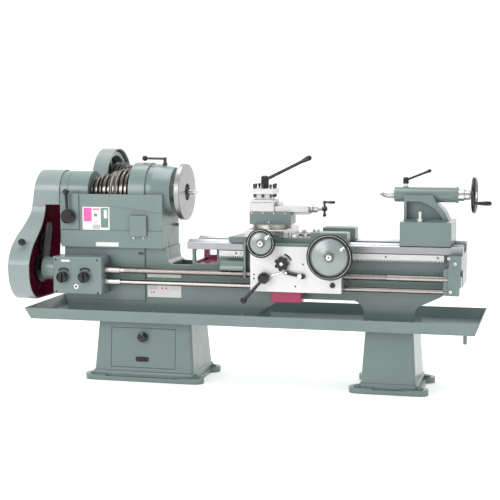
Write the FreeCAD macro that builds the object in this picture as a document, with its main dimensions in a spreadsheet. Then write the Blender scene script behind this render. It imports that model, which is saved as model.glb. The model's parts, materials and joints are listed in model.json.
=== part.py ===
import FreeCAD, Part
import math
import os
from FreeCAD import Placement, Rotation, Vector
import Sketcher

# A belt-driven gap-bed engine lathe. Lengths are in millimetres.
# Drawing datum: X runs towards the tailstock from the inner end of the headstock
# pedestal's foot, Y runs back from the spindle axis, Z runs up from the floor.
# Every part is placed by one shift that puts the origin under the middle of the machine.

os.makedirs("parts", exist_ok=True)
doc = FreeCAD.newDocument("lathe")
sheet = doc.addObject("Spreadsheet::Sheet", "sizes")
rows = []
nodes = []
corner_of = {}


class Dim:
    """A size that keeps both its number and the sheet formula behind it."""

    def __init__(self, number, formula):
        self.number = number
        self.formula = formula

    def __add__(self, other):
        return Dim(self.number + number(other), "(%s + %s)" % (self.formula, formula(other)))

    def __radd__(self, other):
        return self + other

    def __sub__(self, other):
        return Dim(self.number - number(other), "(%s - %s)" % (self.formula, formula(other)))

    def __rsub__(self, other):
        return Dim(number(other) - self.number, "(%s - %s)" % (formula(other), self.formula))

    def __mul__(self, other):
        return Dim(self.number * number(other), "(%s * %s)" % (self.formula, formula(other)))

    def __rmul__(self, other):
        return self * other

    def __truediv__(self, other):
        return Dim(self.number / number(other), "(%s / %s)" % (self.formula, formula(other)))

    def __neg__(self):
        return Dim(-self.number, "(-%s)" % self.formula)


def number(value):
    return value.number if isinstance(value, Dim) else float(value)


def formula(value):
    return value.formula if isinstance(value, Dim) else "(%.6f)" % value


def size(name, value):
    """One driving size in a named cell."""
    rows.append(name)
    cell = "B%d" % len(rows)
    sheet.set("A%d" % len(rows), name)
    sheet.set(cell, "%g" % value)
    sheet.setAlias(cell, name)
    return Dim(float(value), "sizes." + name)


# ---- driving sizes ----------------------------------------------------------

frame_x = size("frame_x", -223)
frame_y = size("frame_y", -60)
axis_z = size("spindle_height", 1016)
bed_left = size("bed_left", -800)
bed_right = size("bed_right", 1352)
way_top = size("way_top", 765)
way_under = size("way_under", 722)
way_half = size("way_half_width", 141)
wall_half = size("bed_wall_half_width", 118)
bed_wall = size("bed_wall", 22)
foot_z = size("bed_foot_height", 335)
tray_left = size("tray_left", -992)
tray_right = size("tray_right", 1451)
tray_half = size("tray_half_width", 270)
tray_top = size("tray_top", 394)
tray_under = size("tray_under", 331)
shaft_y = size("feed_shaft_setback", -185)
screw_z = size("leadscrew_height", 604)
feed_z = size("feed_rod_height", 540)
screw_r = size("leadscrew_radius", 17)
feed_r = size("feed_rod_radius", 13)
running = size("running_clearance", 0.05)
gap = size("free_clearance", 0.5)
plate_r = size("faceplate_radius", 153)
barrel_r = size("tailstock_barrel_radius", 39)
quill_r = size("quill_radius", 21)
counter_y = size("countershaft_setback", 320)
counter_z = size("countershaft_height", 1038)
wheel_r = size("big_wheel_radius", 186)
motor_y = size("motor_setback", 300)
motor_z = size("motor_height", 570)
rack_module = size("rack_module", 4)

doc.recompute()


# ---- drawing helpers --------------------------------------------------------

TURN = {
    "X": Rotation(Vector(0, 1, 0), 90),
    "Y": Rotation(Vector(1, 0, 0), -90),
    "Z": Rotation(),
}
# sketch plane, and the way its normal points along the world axis
PLANE = {"XY": ("XY_Plane", 1), "XZ": ("XZ_Plane", -1), "YZ": ("YZ_Plane", 1)}


def bind(part, prop, value):
    if isinstance(value, Dim):
        part.setExpression(prop, value.formula)
    else:
        setattr(part, prop, value)


def place(part, x, y, z, turn=None):
    """Puts a part's own origin at a point, with the sheet's formulas kept."""
    spot = Vector(number(x), number(y), number(z))
    part.Placement = Placement(spot, turn if turn is not None else Rotation())
    corner_of[part.Name] = (x, y, z)
    for letter, value in zip("xyz", (x, y, z)):
        if isinstance(value, Dim):
            part.setExpression("Placement.Base." + letter, value.formula)
    return part


def box(x, y, z):
    part = doc.addObject("Part::Box", "block")
    bind(part, "Length", x[1] - x[0])
    bind(part, "Width", y[1] - y[0])
    bind(part, "Height", z[1] - z[0])
    return place(part, x[0], y[0], z[0])


def start_of(axis, along, centre):
    if axis == "X":
        return (along[0], centre[0], centre[1])
    if axis == "Y":
        return (centre[0], along[0], centre[1])
    return (centre[0], centre[1], along[0])


def rod(axis, along, centre, radius):
    """A round bar along one axis; centre gives its other two coordinates."""
    part = doc.addObject("Part::Cylinder", "round")
    bind(part, "Radius", radius)
    bind(part, "Height", along[1] - along[0])
    return place(part, *start_of(axis, along, centre), TURN[axis])


def cone(axis, along, centre, first, last):
    part = doc.addObject("Part::Cone", "taper")
    bind(part, "Radius1", first)
    bind(part, "Radius2", last)
    bind(part, "Height", along[1] - along[0])
    return place(part, *start_of(axis, along, centre), TURN[axis])


def ball(x, y, z, radius, turn=0):
    """A ball; turn swings the start of its surface about the upright axis."""
    part = doc.addObject("Part::Sphere", "ball")
    bind(part, "Radius", radius)
    return place(part, x, y, z, Rotation(Vector(0, 0, 1), turn))


def ring(axis, along, centre, radius, thick):
    part = doc.addObject("Part::Torus", "ring")
    bind(part, "Radius1", radius)
    bind(part, "Radius2", thick)
    return place(part, *start_of(axis, (along, along), centre), TURN[axis])


def bar(start, end, radius, last=None):
    """A round bar between two points, tapering if a second radius is given."""
    a = Vector(*[number(v) for v in start])
    b = Vector(*[number(v) for v in end])
    part = doc.addObject("Part::Cone" if last else "Part::Cylinder", "bar")
    if last:
        part.Radius1 = radius
        part.Radius2 = last
    else:
        part.Radius = radius
    part.Height = (b - a).Length
    return place(part, *start, Rotation(Vector(0, 0, 1), b - a))


def wedge(low_x, low_y, low_z, high_x, high_y, high_z):
    """A block with a rectangle at its foot and another at its top."""
    part = doc.addObject("Part::Wedge", "taper_block")
    bind(part, "Xmin", low_x[0])
    bind(part, "Xmax", low_x[1])
    bind(part, "Zmin", -low_y[1])
    bind(part, "Zmax", -low_y[0])
    bind(part, "X2min", high_x[0])
    bind(part, "X2max", high_x[1])
    bind(part, "Z2min", -high_y[1])
    bind(part, "Z2max", -high_y[0])
    bind(part, "Ymin", low_z)
    bind(part, "Ymax", high_z)
    return place(part, 0, 0, 0, Rotation(Vector(1, 0, 0), 90))


def joined(*parts):
    part = doc.addObject("Part::MultiFuse", "joined")
    part.Shapes = list(parts)
    return place(part, 0, 0, 0)


def without(base, *tools):
    part = doc.addObject("Part::Cut", "cut")
    part.Base = base
    part.Tool = tools[0] if len(tools) == 1 else joined(*tools)
    return place(part, 0, 0, 0)


def common(*parts):
    part = doc.addObject("Part::MultiCommon", "common")
    part.Shapes = list(parts)
    return place(part, 0, 0, 0)


def bundle(*parts):
    part = doc.addObject("Part::Compound", "bundle")
    part.Links = list(parts)
    return place(part, 0, 0, 0)


def rounded(base, radius, pick):
    """Rounds the edges that pick chooses by their middle and direction."""
    doc.recompute()
    chosen = []
    for index, edge in enumerate(base.Shape.Edges, 1):
        if len(edge.Vertexes) < 2:
            continue
        a = edge.Vertexes[0].Point
        b = edge.Vertexes[-1].Point
        way = b - a
        if way.Length < 1e-6:
            continue
        way.normalize()
        if pick((a + b) * 0.5, way, edge):
            chosen.append((index, radius, radius))
    part = doc.addObject("Part::Fillet", "rounded")
    part.Base = base
    part.Edges = chosen
    return place(part, 0, 0, 0)


def upright(middle, way, edge):
    return abs(way.z) > 0.8


def outline(body, plane, level, loops):
    """A sketch of closed loops. A corner is (across, up) or (across, up, bulge),
    where bulge bends the side to the next corner into an arc. A loop that is
    ("round", across, up, radius) is a circle."""
    role, way = PLANE[plane]
    sketch = body.newObject("Sketcher::SketchObject", "outline")
    origin = [f for f in body.Origin.OriginFeatures if f.Role == role][0]
    sketch.AttachmentSupport = [(origin, "")]
    sketch.MapMode = "FlatFace"
    offset = level if way > 0 else -level
    sketch.AttachmentOffset = Placement(Vector(0, 0, number(offset)), Rotation())
    if isinstance(offset, Dim):
        sketch.setExpression("AttachmentOffset.Base.z", offset.formula)
    for loop in loops:
        if loop[0] == "round":
            draw_circle(sketch, *loop[1:])
        else:
            draw_loop(sketch, loop)
    return sketch


def pin_down(sketch, kind, geo, spot, value):
    index = sketch.addConstraint(Sketcher.Constraint(kind, -1, 1, geo, spot, number(value)))
    if isinstance(value, Dim):
        sketch.setExpression("Constraints[%d]" % index, value.formula)


def draw_circle(sketch, across, up, radius):
    centre = Vector(number(across), number(up), 0)
    geo = sketch.addGeometry(Part.Circle(centre, Vector(0, 0, 1), number(radius)), False)
    pin_down(sketch, "DistanceX", geo, 3, across)
    pin_down(sketch, "DistanceY", geo, 3, up)
    index = sketch.addConstraint(Sketcher.Constraint("Radius", geo, number(radius)))
    if isinstance(radius, Dim):
        sketch.setExpression("Constraints[%d]" % index, radius.formula)


def draw_loop(sketch, corners):
    spots = [Vector(number(c[0]), number(c[1]), 0) for c in corners]
    count = len(corners)
    sides = []
    for index, corner in enumerate(corners):
        a = spots[index]
        b = spots[(index + 1) % count]
        bulge = corner[2] if len(corner) > 2 else 0
        if bulge:
            chord = b - a
            side = Vector(chord.y, -chord.x, 0)
            top = (a + b) * 0.5 + side * (bulge * 0.5)
            reach = chord.Length * (1 + bulge * bulge) / (4 * abs(bulge))
            first, last = (a, b) if bulge > 0 else (b, a)
            geo = sketch.addGeometry(Part.Arc(first, top, last), False)
            sketch.addConstraint(Sketcher.Constraint("Radius", geo, reach))
            sides.append((geo, 1, 2) if bulge > 0 else (geo, 2, 1))
        else:
            geo = sketch.addGeometry(Part.LineSegment(a, b), False)
            sides.append((geo, 1, 2))
    for index in range(count):
        geo, start, end = sides[index]
        after, first, last = sides[(index + 1) % count]
        sketch.addConstraint(Sketcher.Constraint("Coincident", geo, end, after, first))
    for index, corner in enumerate(corners):
        geo, start, end = sides[index]
        pin_down(sketch, "DistanceX", geo, start, corner[0])
        pin_down(sketch, "DistanceY", geo, start, corner[1])


def grow(body, plane, low, high, *loops):
    """Adds a straight extrusion from low to high along the plane's own axis."""
    start = low if PLANE[plane][1] > 0 else high
    pad = body.newObject("PartDesign::Pad", "pad")
    pad.Profile = outline(body, plane, start, loops)
    bind(pad, "Length", high - low)
    body.Tip = pad
    return body


def carve(body, plane, low, high, *loops):
    """Cuts a straight pocket from low to high along the plane's own axis."""
    start = high if PLANE[plane][1] > 0 else low
    pocket = body.newObject("PartDesign::Pocket", "pocket")
    pocket.Profile = outline(body, plane, start, loops)
    bind(pocket, "Length", high - low)
    body.Tip = pocket
    return body


def casting(plane, low, high, *loops):
    body = doc.addObject("PartDesign::Body", "casting")
    grow(body, plane, low, high, *loops)
    return place(body, 0, 0, 0)


def block(x, y):
    return [(x[0], y[0]), (x[1], y[0]), (x[1], y[1]), (x[0], y[1])]


def turned(axis, centre, steps, bore=0):
    """A turned part: steps are (station, radius) pairs along the axis."""
    body = doc.addObject("PartDesign::Body", "turned")
    corners = [(bore, steps[0][0])]
    corners += [(radius, station) for station, radius in steps]
    corners.append((bore, steps[-1][0]))
    kept = []
    for corner in corners:
        same = kept and all(abs(number(a) - number(b)) < 1e-6 for a, b in zip(corner, kept[-1]))
        if not same:
            kept.append(corner)
    sketch = outline(body, "XZ", 0, [kept])
    spin = body.newObject("PartDesign::Revolution", "revolution")
    spin.Profile = sketch
    spin.ReferenceAxis = (sketch, ["V_Axis"])
    spin.Angle = 360
    body.Tip = spin
    return place(body, *start_of(axis, (0, 0), centre), TURN[axis])


def toothed(axis, along, centre, teeth, module, bore, phase=0.0):
    """A spur gear with straight-sided teeth and generous backlash."""
    pitch = teeth * module / 2.0
    spots = []
    for tooth in range(teeth):
        middle = 2 * math.pi * (tooth + phase) / teeth
        for share, reach in ((-0.29, -1.15), (-0.12, 0.85), (0.12, 0.85), (0.29, -1.15)):
            angle = middle + share * 2 * math.pi / teeth
            radius = pitch + reach * module
            spots.append(Vector(radius * math.cos(angle), radius * math.sin(angle), 0))
    rim = Part.Face(Part.makePolygon(spots + [spots[0]]))
    hole = Part.Face(Part.Wire(Part.makeCircle(number(bore))))
    part = doc.addObject("Part::Feature", "gear")
    part.Shape = rim.cut(hole).extrude(Vector(0, 0, number(along[1] - along[0])))
    return place(part, *start_of(axis, along, centre), TURN[axis])


def node(name, part):
    """Names a finished part and shifts it from the drawing datum to the origin."""
    x, y, z = corner_of[part.Name]
    turn = part.Placement.Rotation
    place(part, frame_x + x, frame_y + y, z, turn)
    part.Label = name
    nodes.append(part)
    return part


# ---- pedestals, tray and bed ------------------------------------------------

def pedestal(middle, half_top, half_base, half_foot):
    """A hollow tapered cast pedestal on a flange foot with four bolt lugs."""
    plinth_z = 54
    shell = wedge((middle - half_base, middle + half_base), (-178, 178), plinth_z - 4,
                  (middle - half_top, middle + half_top), (-150, 150), tray_under)
    shell = rounded(shell, 16, upright)
    plate_x = (middle - half_foot + 40, middle + half_foot - 40)
    plate = rounded(box(plate_x, (-206, 206), (0, 24)), 34, upright)
    ridge_x = (middle - half_base - 9, middle + half_base + 9)
    ridge = rounded(box(ridge_x, (-187, 187), (20, plinth_z)), 24, upright)
    ridge = rounded(ridge, 12, lambda m, w, e: m.z > 50)
    parts = [shell, plate, ridge]
    for side_x in (-1, 1):
        for side_y in (-1, 1):
            x = middle + side_x * (half_foot - 46)
            y = side_y * 158
            parts.append(rod("Z", (0, 30), (x, y), 46))
            inner = middle + side_x * (half_foot - 130)
            parts.append(box((min(x, inner), max(x, inner)), (y - 46, y + 46), (0, 30)))
            parts.append(rod("Z", (28, 38), (x, y), 21))
    holes = []
    for side_x in (-1, 1):
        for side_y in (-1, 1):
            holes.append(rod("Z", (-1, 50), (middle + side_x * (half_foot - 46), side_y * 158), 9))
    hollow = wedge((middle - half_base + 14, middle + half_base - 14), (-164, 164), -1,
                   (middle - half_top + 14, middle + half_top - 14), (-136, 136), tray_under - 16)
    return joined(*parts), [hollow] + holes


left_middle = -344
right_middle = 984
front_slope = 28.0 / 281.0
front_lean = Rotation(Vector(1, 0, 0), -math.degrees(math.atan(front_slope)))


def front_at(height):
    """How far forward the pedestal's leaning front wall is at a height."""
    return -178 + (height - 50) * front_slope


def door_slot(low_x, high_x, low_z, high_z, depth, skin):
    """The space a plate takes in the pedestal's leaning front wall."""
    slab = box((low_x, high_x), (0, depth), (low_z, high_z))
    return place(slab, low_x, front_at(low_z) + skin, low_z, front_lean)


shell, hollows = pedestal(left_middle, 262, 282, 336)
door_gap = door_slot(-531.5, -163.5, 72, 288, 9, -1)
door_light = door_slot(-512, -183, 92, 268, 40, -1)
left_pedestal = without(shell, *(hollows + [door_gap, door_light]))
node("headstock_pedestal", left_pedestal)

shell, hollows = pedestal(right_middle, 124, 142, 206)
node("tailstock_pedestal", without(shell, *hollows))

door_plate = door_slot(-530, -165, 74, 286, 8, -0.6)
door_hole = rod("Y", (-200, -120), (-347, 239), 8.2)
door = without(rounded(door_plate, 3, upright), door_hole)

knob_y = front_at(239)
door_knob = turned("Y", (-347, 239), [(knob_y - 30, 16), (knob_y - 26, 25), (knob_y - 12, 27),
                                      (knob_y - 6, 20), (knob_y - 1.6, 16), (knob_y - 1.6, 8),
                                      (knob_y + 14, 8)])
door_grip = joined(door_knob, box((-372, -322), (knob_y - 36, knob_y - 29), (235, 243)))
badge = place(box((0, 74), (0, 3), (0, 26)), -389, front_at(106) - 3.6, 106, front_lean)
badge = rounded(badge, 9, lambda m, w, e: abs(w.y) > 0.8)
node("pedestal_door", bundle(door, door_grip, badge))

tray_shell = wedge((tray_left + 26, tray_right - 26), (-tray_half + 26, tray_half - 26), tray_under,
                   (tray_left, tray_right), (-tray_half, tray_half), tray_top)
tray_room = wedge((tray_left + 31, tray_right - 31), (-tray_half + 31, tray_half - 31), tray_under + 4,
                  (tray_left + 5, tray_right - 5), (-tray_half + 5, tray_half - 5), tray_top + 0.01)
drain_x = 1366
drain_y = -100
tray = without(tray_shell, tray_room, rod("Z", (300, 400), (drain_x, drain_y), 10.1))
spout = turned("Z", (drain_x, drain_y), [(262, 10), (322, 10), (322, 17), (331, 17), (331, 10), (335, 10),
                                         (335, 14), (341, 14)], 7)
floor_top = tray_under + 4
full_depth = (-tray_half, tray_half)
between = (tray_left + 31, tray_right - 31)
sheets = [
    box((tray_left, tray_right), full_depth, (tray_under, floor_top)),
    box((tray_left, tray_left + 31), full_depth, (floor_top, tray_top)),
    box((tray_right - 31, tray_right), full_depth, (floor_top, tray_top)),
    box(between, (-tray_half, -tray_half + 31), (floor_top, tray_top)),
    box(between, (tray_half - 31, tray_half), (floor_top, tray_top)),
]
node("chip_tray", bundle(spout, *[common(tray, sheet_room) for sheet_room in sheets]))

# Side walls with their feet, the hollow for the gap and the open space underneath.
gap_floor = 632
side = [
    (bed_left, foot_z), (284, foot_z), (284, 381), (378, 443, -0.12), (440, 469), (797, 469, -0.36),
    (848, 400), (848, foot_z), (1112, foot_z), (1112, 418, -0.25), (1140, 452), (1240, 500),
    (1300, 540), (bed_right, 560), (bed_right, way_under), (71, way_under), (71, gap_floor),
    (-180, gap_floor, -0.414), (-222, 674), (-222, way_under), (bed_left, way_under),
]
bed = casting("XZ", -wall_half, wall_half, side)
front_panel = [(bed_left - 8, 432), (-345, 432), (-345, way_under), (bed_left - 8, way_under)]
grow(bed, "XZ", -wall_half - 9, -wall_half + 4, front_panel)
way_flat = way_top - 3
way_peak = way_top + 8
front_way = [
    (-way_half, way_under), (-60, way_under), (-60, way_flat), (-92, way_flat), (-105, way_peak),
    (-118, way_flat), (-way_half + 6, way_flat), (-way_half, way_flat - 6),
]
rear_way = [(60, way_under), (way_half, way_under), (way_half, way_flat), (94, way_flat),
            (82, way_peak - 1), (70, way_flat), (60, way_flat)]
grow(bed, "YZ", 71, bed_right, front_way, rear_way)
foot_left = block((bed_left, 284), (-148, 148))
foot_right = block((848, 1112), (-148, 148))
grow(bed, "XY", foot_z, foot_z + 22, foot_left, foot_right)
inner = wall_half - bed_wall
rooms = []
for low, high in ((-778, -560), (-540, -350), (-330, -245), (-200, -60), (-40, 56), (90, 262), (300, 530),
                  (550, 770), (870, 1010), (1030, 1090), (1140, 1220), (1240, 1330)):
    rooms.append(block((low, high), (-inner, inner)))
carve(bed, "XY", 330, way_under, *rooms)
carve(bed, "XY", 700, way_under, block((90, 1330), (-inner, inner)))
carve(bed, "YZ", -228, -221, block((-66, -60), (660, way_under)))
foot_bolts = [(x, y) for x in (-700, -300, 200) for y in (-131, 131)]
foot_bolts += [(x, y) for x in (880, 1080) for y in (-131, 131)]
lengths = [(-820, 440), (440, 797), (797, 1360)]
node("bed", bundle(*[common(bed, box(length, (-160, 160), (330, 780))) for length in lengths]))

bridge_side = [(-78, gap_floor + gap), (70, gap_floor + gap), (70, way_under), (-78, way_under)]
bridge = casting("XZ", -wall_half, wall_half, bridge_side)
grow(bridge, "YZ", -98, 70.5, front_way, rear_way)
window = [(-63, 655), (-45, 642), (40, 642), (61, 660), (61, 718), (-63, 718)]
carve(bridge, "XZ", -150, -inner, window)
carve(bridge, "XZ", inner, 150, block((-48, -6), (664, 710)))
carve(bridge, "XY", 640, way_under, block((-62, 52), (-inner, inner)))
carve(bridge, "YZ", -100, -50, block((-inner, inner), (650, 712)))
node("gap_bridge", bridge)

rack_pitch = number(rack_module) * math.pi
teeth = 94
rack_start = 78.0
spots = [Vector(rack_start, 0, 718), Vector(rack_start, 0, 690)]
for tooth in range(teeth):
    middle = rack_start + (tooth + 0.5) * rack_pitch
    for across, height in ((-4.1, 690), (-1.9, 680.6), (1.9, 680.6), (4.1, 690)):
        spots.append(Vector(middle + across, 0, height))
rack_end = rack_start + teeth * rack_pitch
spots += [Vector(rack_end, 0, 690), Vector(rack_end, 0, 718)]
rack_bar = doc.addObject("Part::Feature", "rack_bar")
rack_bar.Shape = Part.Face(Part.makePolygon(spots + [spots[0]])).extrude(Vector(0, 22, 0))
place(rack_bar, 0, -wall_half - 22, 0)
rack_holes = [rod("Y", (-150, -130), (x, 705), 6) for x in range(172, 1250, 264)]
node("feed_rack", without(rack_bar, *rack_holes))

bolts = []
for x, y in foot_bolts:
    bolts.append(joined(rod("Z", (357, 361), (x, y), 12), rod("Z", (361, 375), (x, y), 10)))
for x in (-372, -357):
    bolts.append(rod("Y", (-wall_half - 15, -wall_half - 9), (x, 690), 5.5))
for x, z in ((1290, 712), (1322, 686), (1300, 544)):
    bolts.append(rod("Y", (-wall_half - 96, -wall_half - 88), (x, z), 8))
for x in (-392, -336):
    bolts.append(rod("Y", (-171, -166.2), (x, 776), 5.5))
bolts.append(rod("Y", (-wall_half - 26, -wall_half - 22), (196, 705), 5))
node("fasteners", bundle(*bolts))

bracket_side = [(1262, 522), (1341, 522), (1341, 560), (1350, 566), (1350, 612), (1341, 618), (1341, 640),
                (1352, 650), (1352, 721.7), (1290, 721.7), (1290, 664), (1262, 650)]
bracket = casting("XZ", -wall_half - 88, -wall_half - 0.2, bracket_side)
carve(bracket, "YZ", 1261, 1330, ("round", shaft_y, screw_z, screw_r - 3 + running),
      ("round", shaft_y, feed_z, feed_r - 2 + running))
carve(bracket, "XZ", -wall_half - 90, -wall_half - 78,
      [(1250, 500), (1286, 500), (1286, 740), (1250, 740)])
node("end_bracket", bracket)


# ---- headstock ---------------------------------------------------------------

spindle_line = (0, axis_z)
back_line = (20, axis_z - 139)
head = [
    box((-838, -229), (-160, 112), (730, 1009)),
    box((-810, -229), (-166, 116), (way_under, 812)),
    rod("X", (-838, -674), spindle_line, 110),
    rod("X", (-425, -333), spindle_line, 158),
    rod("X", (-334, -300), spindle_line, 147),
    cone("X", (-301, -200), spindle_line, 150, 132),
    box((-334, -229), (-147, 112), (900, 1012)),
    rod("X", (-232, -207), (57, 832), 8),
    box((-815, -706), (-168, -150), (818, 1009)),
]
lean = casting("XZ", -164, -150, [(-524, 949), (-269, 915), (-229, 912), (-229, 1009), (-524, 1009)])
head.append(lean)
head_cuts = [
    box((-674, -425), (-146, 100), (812, 1240)),
    box((-674, -425), (90, 200), (880, 1240)),
    rod("X", (-860, -190), spindle_line, 50),
    rod("X", (-426, -190), spindle_line, 60),
    rod("X", (-716, -670), back_line, 95),
    rod("X", (-716, -670), spindle_line, 58),
    rod("X", (-430, -392), spindle_line, 108),
    rod("X", (-430, -392), back_line, 40),
    rod("X", (-760, -360), back_line, 14 + running),
    box((-842, -812), (-170, -112), (700, 1020)),
    box((-842, -812), (112, 180), (700, 1020)),
    box((-785, -728), (-146, 98), (812, 945)),
    box((-385, -245), (-146, 98), (812, 930)),
    box((-785, -250), (-150, 100), (700, 768)),
    box((-235, -225), (-66, -60), (way_under, 758)),
]
seam = without(rod("X", (-794.5, -792.5), spindle_line, 112), rod("X", (-796, -791), spindle_line, 108.5))
head_body = without(joined(*head), *(head_cuts + [seam]))
lever_bore = rod("Z", (1090, 1180), (-265, 0), 9 + running)
reverse_bore = rod("Y", (-190, -100), (-760, 888), 9 + running)
head_whole = without(head_body, lever_bore, reverse_bore)

bearings = []
for low, high, bore, out in ((-832, -792, 35, 50), (-756, -718, 35, 50), (-388, -350, 42, 60),
                             (-252, -214, 42, 60)):
    race = rod("X", (low, high), spindle_line, out)
    bearings.append(without(race, rod("X", (low - 1, high + 1), spindle_line, bore + running)))
node("spindle_bearings", bundle(*bearings))

plates = [
    box((-686, -530), (-161.2, -160), (815, 940)),
    box((-609, -478), (-167.2, -166), (728, 750)),
    box((-334, -143), (-wall_half - 1.2, -wall_half), (453, 581)),
    box((-779, -731), (-246.2, -245), (648, 660)),
]
node("instruction_plates", bundle(*plates))

cover = rounded(box((-411, -316), (-178, -166.2), (785, 896)), 6, lambda m, w, e: abs(w.y) > 0.8)
cover = rounded(cover, 3, lambda m, w, e: m.y < -177)
node("headstock", bundle(head_whole, cover))

# ---- turning parts on the spindle line

spindle = turned("X", spindle_line, [(-951, 24), (-838, 24), (-838, 35), (-716, 35), (-716, 30), (-440, 30),
                                     (-400, 30), (-400, 42), (-206, 42), (-206, 56), (-190, 56),
                                     (-190, 34), (-160.5, 34)], 13)

steps = [(-712, 34), (-672, 34), (-672, 64), (-664, 64)]
station = -664.0
for step in range(4):
    rim = 79 + 15 * step
    for groove in range(2):
        steps += [(station, rim), (station + 4, rim), (station + 9, rim - 14), (station + 18, rim - 14),
                  (station + 23, rim)]
        station += 27
    steps.append((station, rim))
steps.append((station, 60))
cone_gear = toothed("X", (-712, -684), spindle_line, 20, 4, 30)
node("cone_pulley", joined(turned("X", spindle_line, steps, 30.0), cone_gear))

bull_gear = toothed("X", (-434, -400), spindle_line, 48, 4, 30)
end_gear = toothed("X", (-941, -916), spindle_line, 24, 2.5, 24)
node("spindle", bundle(spindle, bull_gear, end_gear))

disc = turned("X", spindle_line, [(-188, 58), (-170, 58), (-170, plate_r - 3), (-167, plate_r),
                                  (-143, plate_r), (-140, plate_r - 3), (-140, 46), (-158, 46),
                                  (-158, 34)], 34)
node("faceplate", disc)

centre_pin = turned("X", spindle_line, [(-190, 12.9), (-159.9, 12.9), (-159.9, 14), (-100, 14), (-75, 0.4)])
node("live_centre", centre_pin)

back_gears = [
    turned("X", back_line, [(-758, 14), (-362, 14)]),
    toothed("X", (-706, -684), back_line, 44, 4, 14),
    toothed("X", (-426, -400), back_line, 17, 4, 14),
]
node("back_gear_shaft", joined(*back_gears))

lever = joined(rod("Z", (1100, 1202), (-265, 0), 9), rod("Z", (1162.6, 1170.6), (-265, 0), 14),
               bar((-265, 0, 1195), (-380, 0, 1197), 6), ball(-380, 0, 1197, 15, 180))
node("back_gear_lever", lever)

reverse = [
    turned("Y", (-760, 888), [(-202, 30), (-198, 38), (-178, 38), (-169, 33), (-168.5, 33), (-168.5, 9),
                              (-110, 9)]),
    bar((-760, -194, 900), (-764, -196, 1008), 6, 9),
    ball(-765, -196, 1022, 17),
]
node("feed_reverse_lever", joined(*reverse))


# ---- gear guard and change gears ---------------------------------------------

def shrunk(corners, depth):
    """The same loop with every corner moved inwards; the loop runs anticlockwise."""
    moved = []
    count = len(corners)
    for index, corner in enumerate(corners):
        here = Vector(number(corner[0]), number(corner[1]), 0)
        before = corners[index - 1]
        after = corners[(index + 1) % count]
        come = here - Vector(number(before[0]), number(before[1]), 0)
        leave = Vector(number(after[0]), number(after[1]), 0) - here
        come.normalize()
        leave.normalize()
        inward = Vector(-come.y - leave.y, come.x + leave.x, 0)
        inward = inward * (2 * depth / max(inward.Length ** 2, 0.8))
        moved.append((corner[0] + inward.x, corner[1] + inward.y) + tuple(corner[2:]))
    return moved


guard_side = [
    (116, axis_z, 0.4142), (0, axis_z + 116, 0.4142), (-116, axis_z), (-117, 934, -0.17),
    (-184, 822), (-290, 745, 0.14), (-361, 640, 0.05), (-361, 575, 0.3), (-262, 444),
    (-20, 440, 0.35), (40, 500), (60, 700), (110, 860),
]


def guard_front(left, right):
    """The guard seen from the front: narrow and set back above, wide below."""
    return [
        (left + 9, 420), (right, 420), (right, 700), (right - 8, 860), (right - 6, 946),
        (right + 77, 946), (right + 77, 1160), (left + 69, 1160), (left + 49, 1003), (left + 33, 895),
        (left + 14, 841), (left + 1, 787), (left, 722),
    ]


guard_skin = common(casting("YZ", -1060, -780, guard_side),
                    casting("XZ", -420, 200, guard_front(-1040, -916)))
guard_room = common(casting("YZ", -1060, -700, shrunk(guard_side, 6)),
                    casting("XZ", -420, 200, guard_front(-1034, -856)))
knob_hole = rod("Y", (-330, -240), (-968, 759), 7 + running)
guard = without(guard_skin, guard_room, knob_hole)

knob_parts = [
    rod("Y", (-312, -256), (-968, 759), 7),
    turned("Y", (-968, 759), [(-344, 10), (-340, 17), (-330, 20), (-318, 18), (-310, 10)]),
]
node("gear_guard", bundle(guard, joined(*knob_parts)))

# ---- change gears and feed gearbox --------------------------------------------

def facing(axis, start, end):
    """The angle, in a gear's own plane, from one shaft to another."""
    if axis == "X":
        return math.atan2(end[0] - start[0], start[1] - end[1])
    return math.atan2(start[1] - end[1], end[0] - start[0])


def mesh(axis, first, teeth, phase, second, other):
    """The tooth phase that puts the second gear in mesh with the first."""
    angle = facing(axis, first, second)
    share = angle * teeth / (2 * math.pi) - phase
    return (angle + math.pi) * other / (2 * math.pi) + share - 0.5


input_spot = (number(shaft_y), number(screw_z))
idler_spot = (input_spot[0] + 46, input_spot[1] + 127)
idler_phase = mesh("X", input_spot, 60, 0.0, idler_spot, 48)

input_shaft = rod("X", (-951, -615), input_spot, 12)
cluster = [toothed("X", (-780 + 22 * k, -762 + 22 * k), input_spot, 14 + 2 * k, 2.5, 11.9) for k in range(7)]
input_whole = joined(input_shaft, toothed("X", (-936, -918), input_spot, 60, 2.5, 11.9))
cone_gears = without(joined(*cluster), rod("X", (-790, -620), input_spot, 12))
node("input_gears", bundle(input_whole, cone_gears))
node("idler_gear", toothed("X", (-936, -918), idler_spot, 48, 2.5, 10 + running, idler_phase))

arm_view = [(-222, 596), (-146, 596), (-108, 715), (-76, 815), (-92, 850), (-124, 846), (-172, 745)]
quadrant = casting("YZ", -912, -902, arm_view)
quadrant_parts = [
    quadrant,
    rod("X", (-902.5, -897), input_spot, 38),
    rod("X", (-952, -906), idler_spot, 10),
    rod("X", (-956, -946), idler_spot, 15),
]
quadrant_whole = without(joined(*quadrant_parts), rod("X", (-957, -886), input_spot, 12 + running))

case = rounded(box((-829, -548), (-235, -127.2), (476, 676)), 6, upright)
case_cuts = [
    box((-815, -562), (-240, -141), (490, 662)),
    rod("X", (-899, -800), input_spot, 12 + running),
    rod("X", (-570, -540), input_spot, 14 + running),
    rod("X", (-570, -540), (shaft_y, feed_z), 11 + running),
]
case_whole = joined(case, rod("X", (-897.5, -826), input_spot, 61), rod("X", (-896, -888), input_spot, 63))
case_whole = without(case_whole, *case_cuts)

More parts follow.
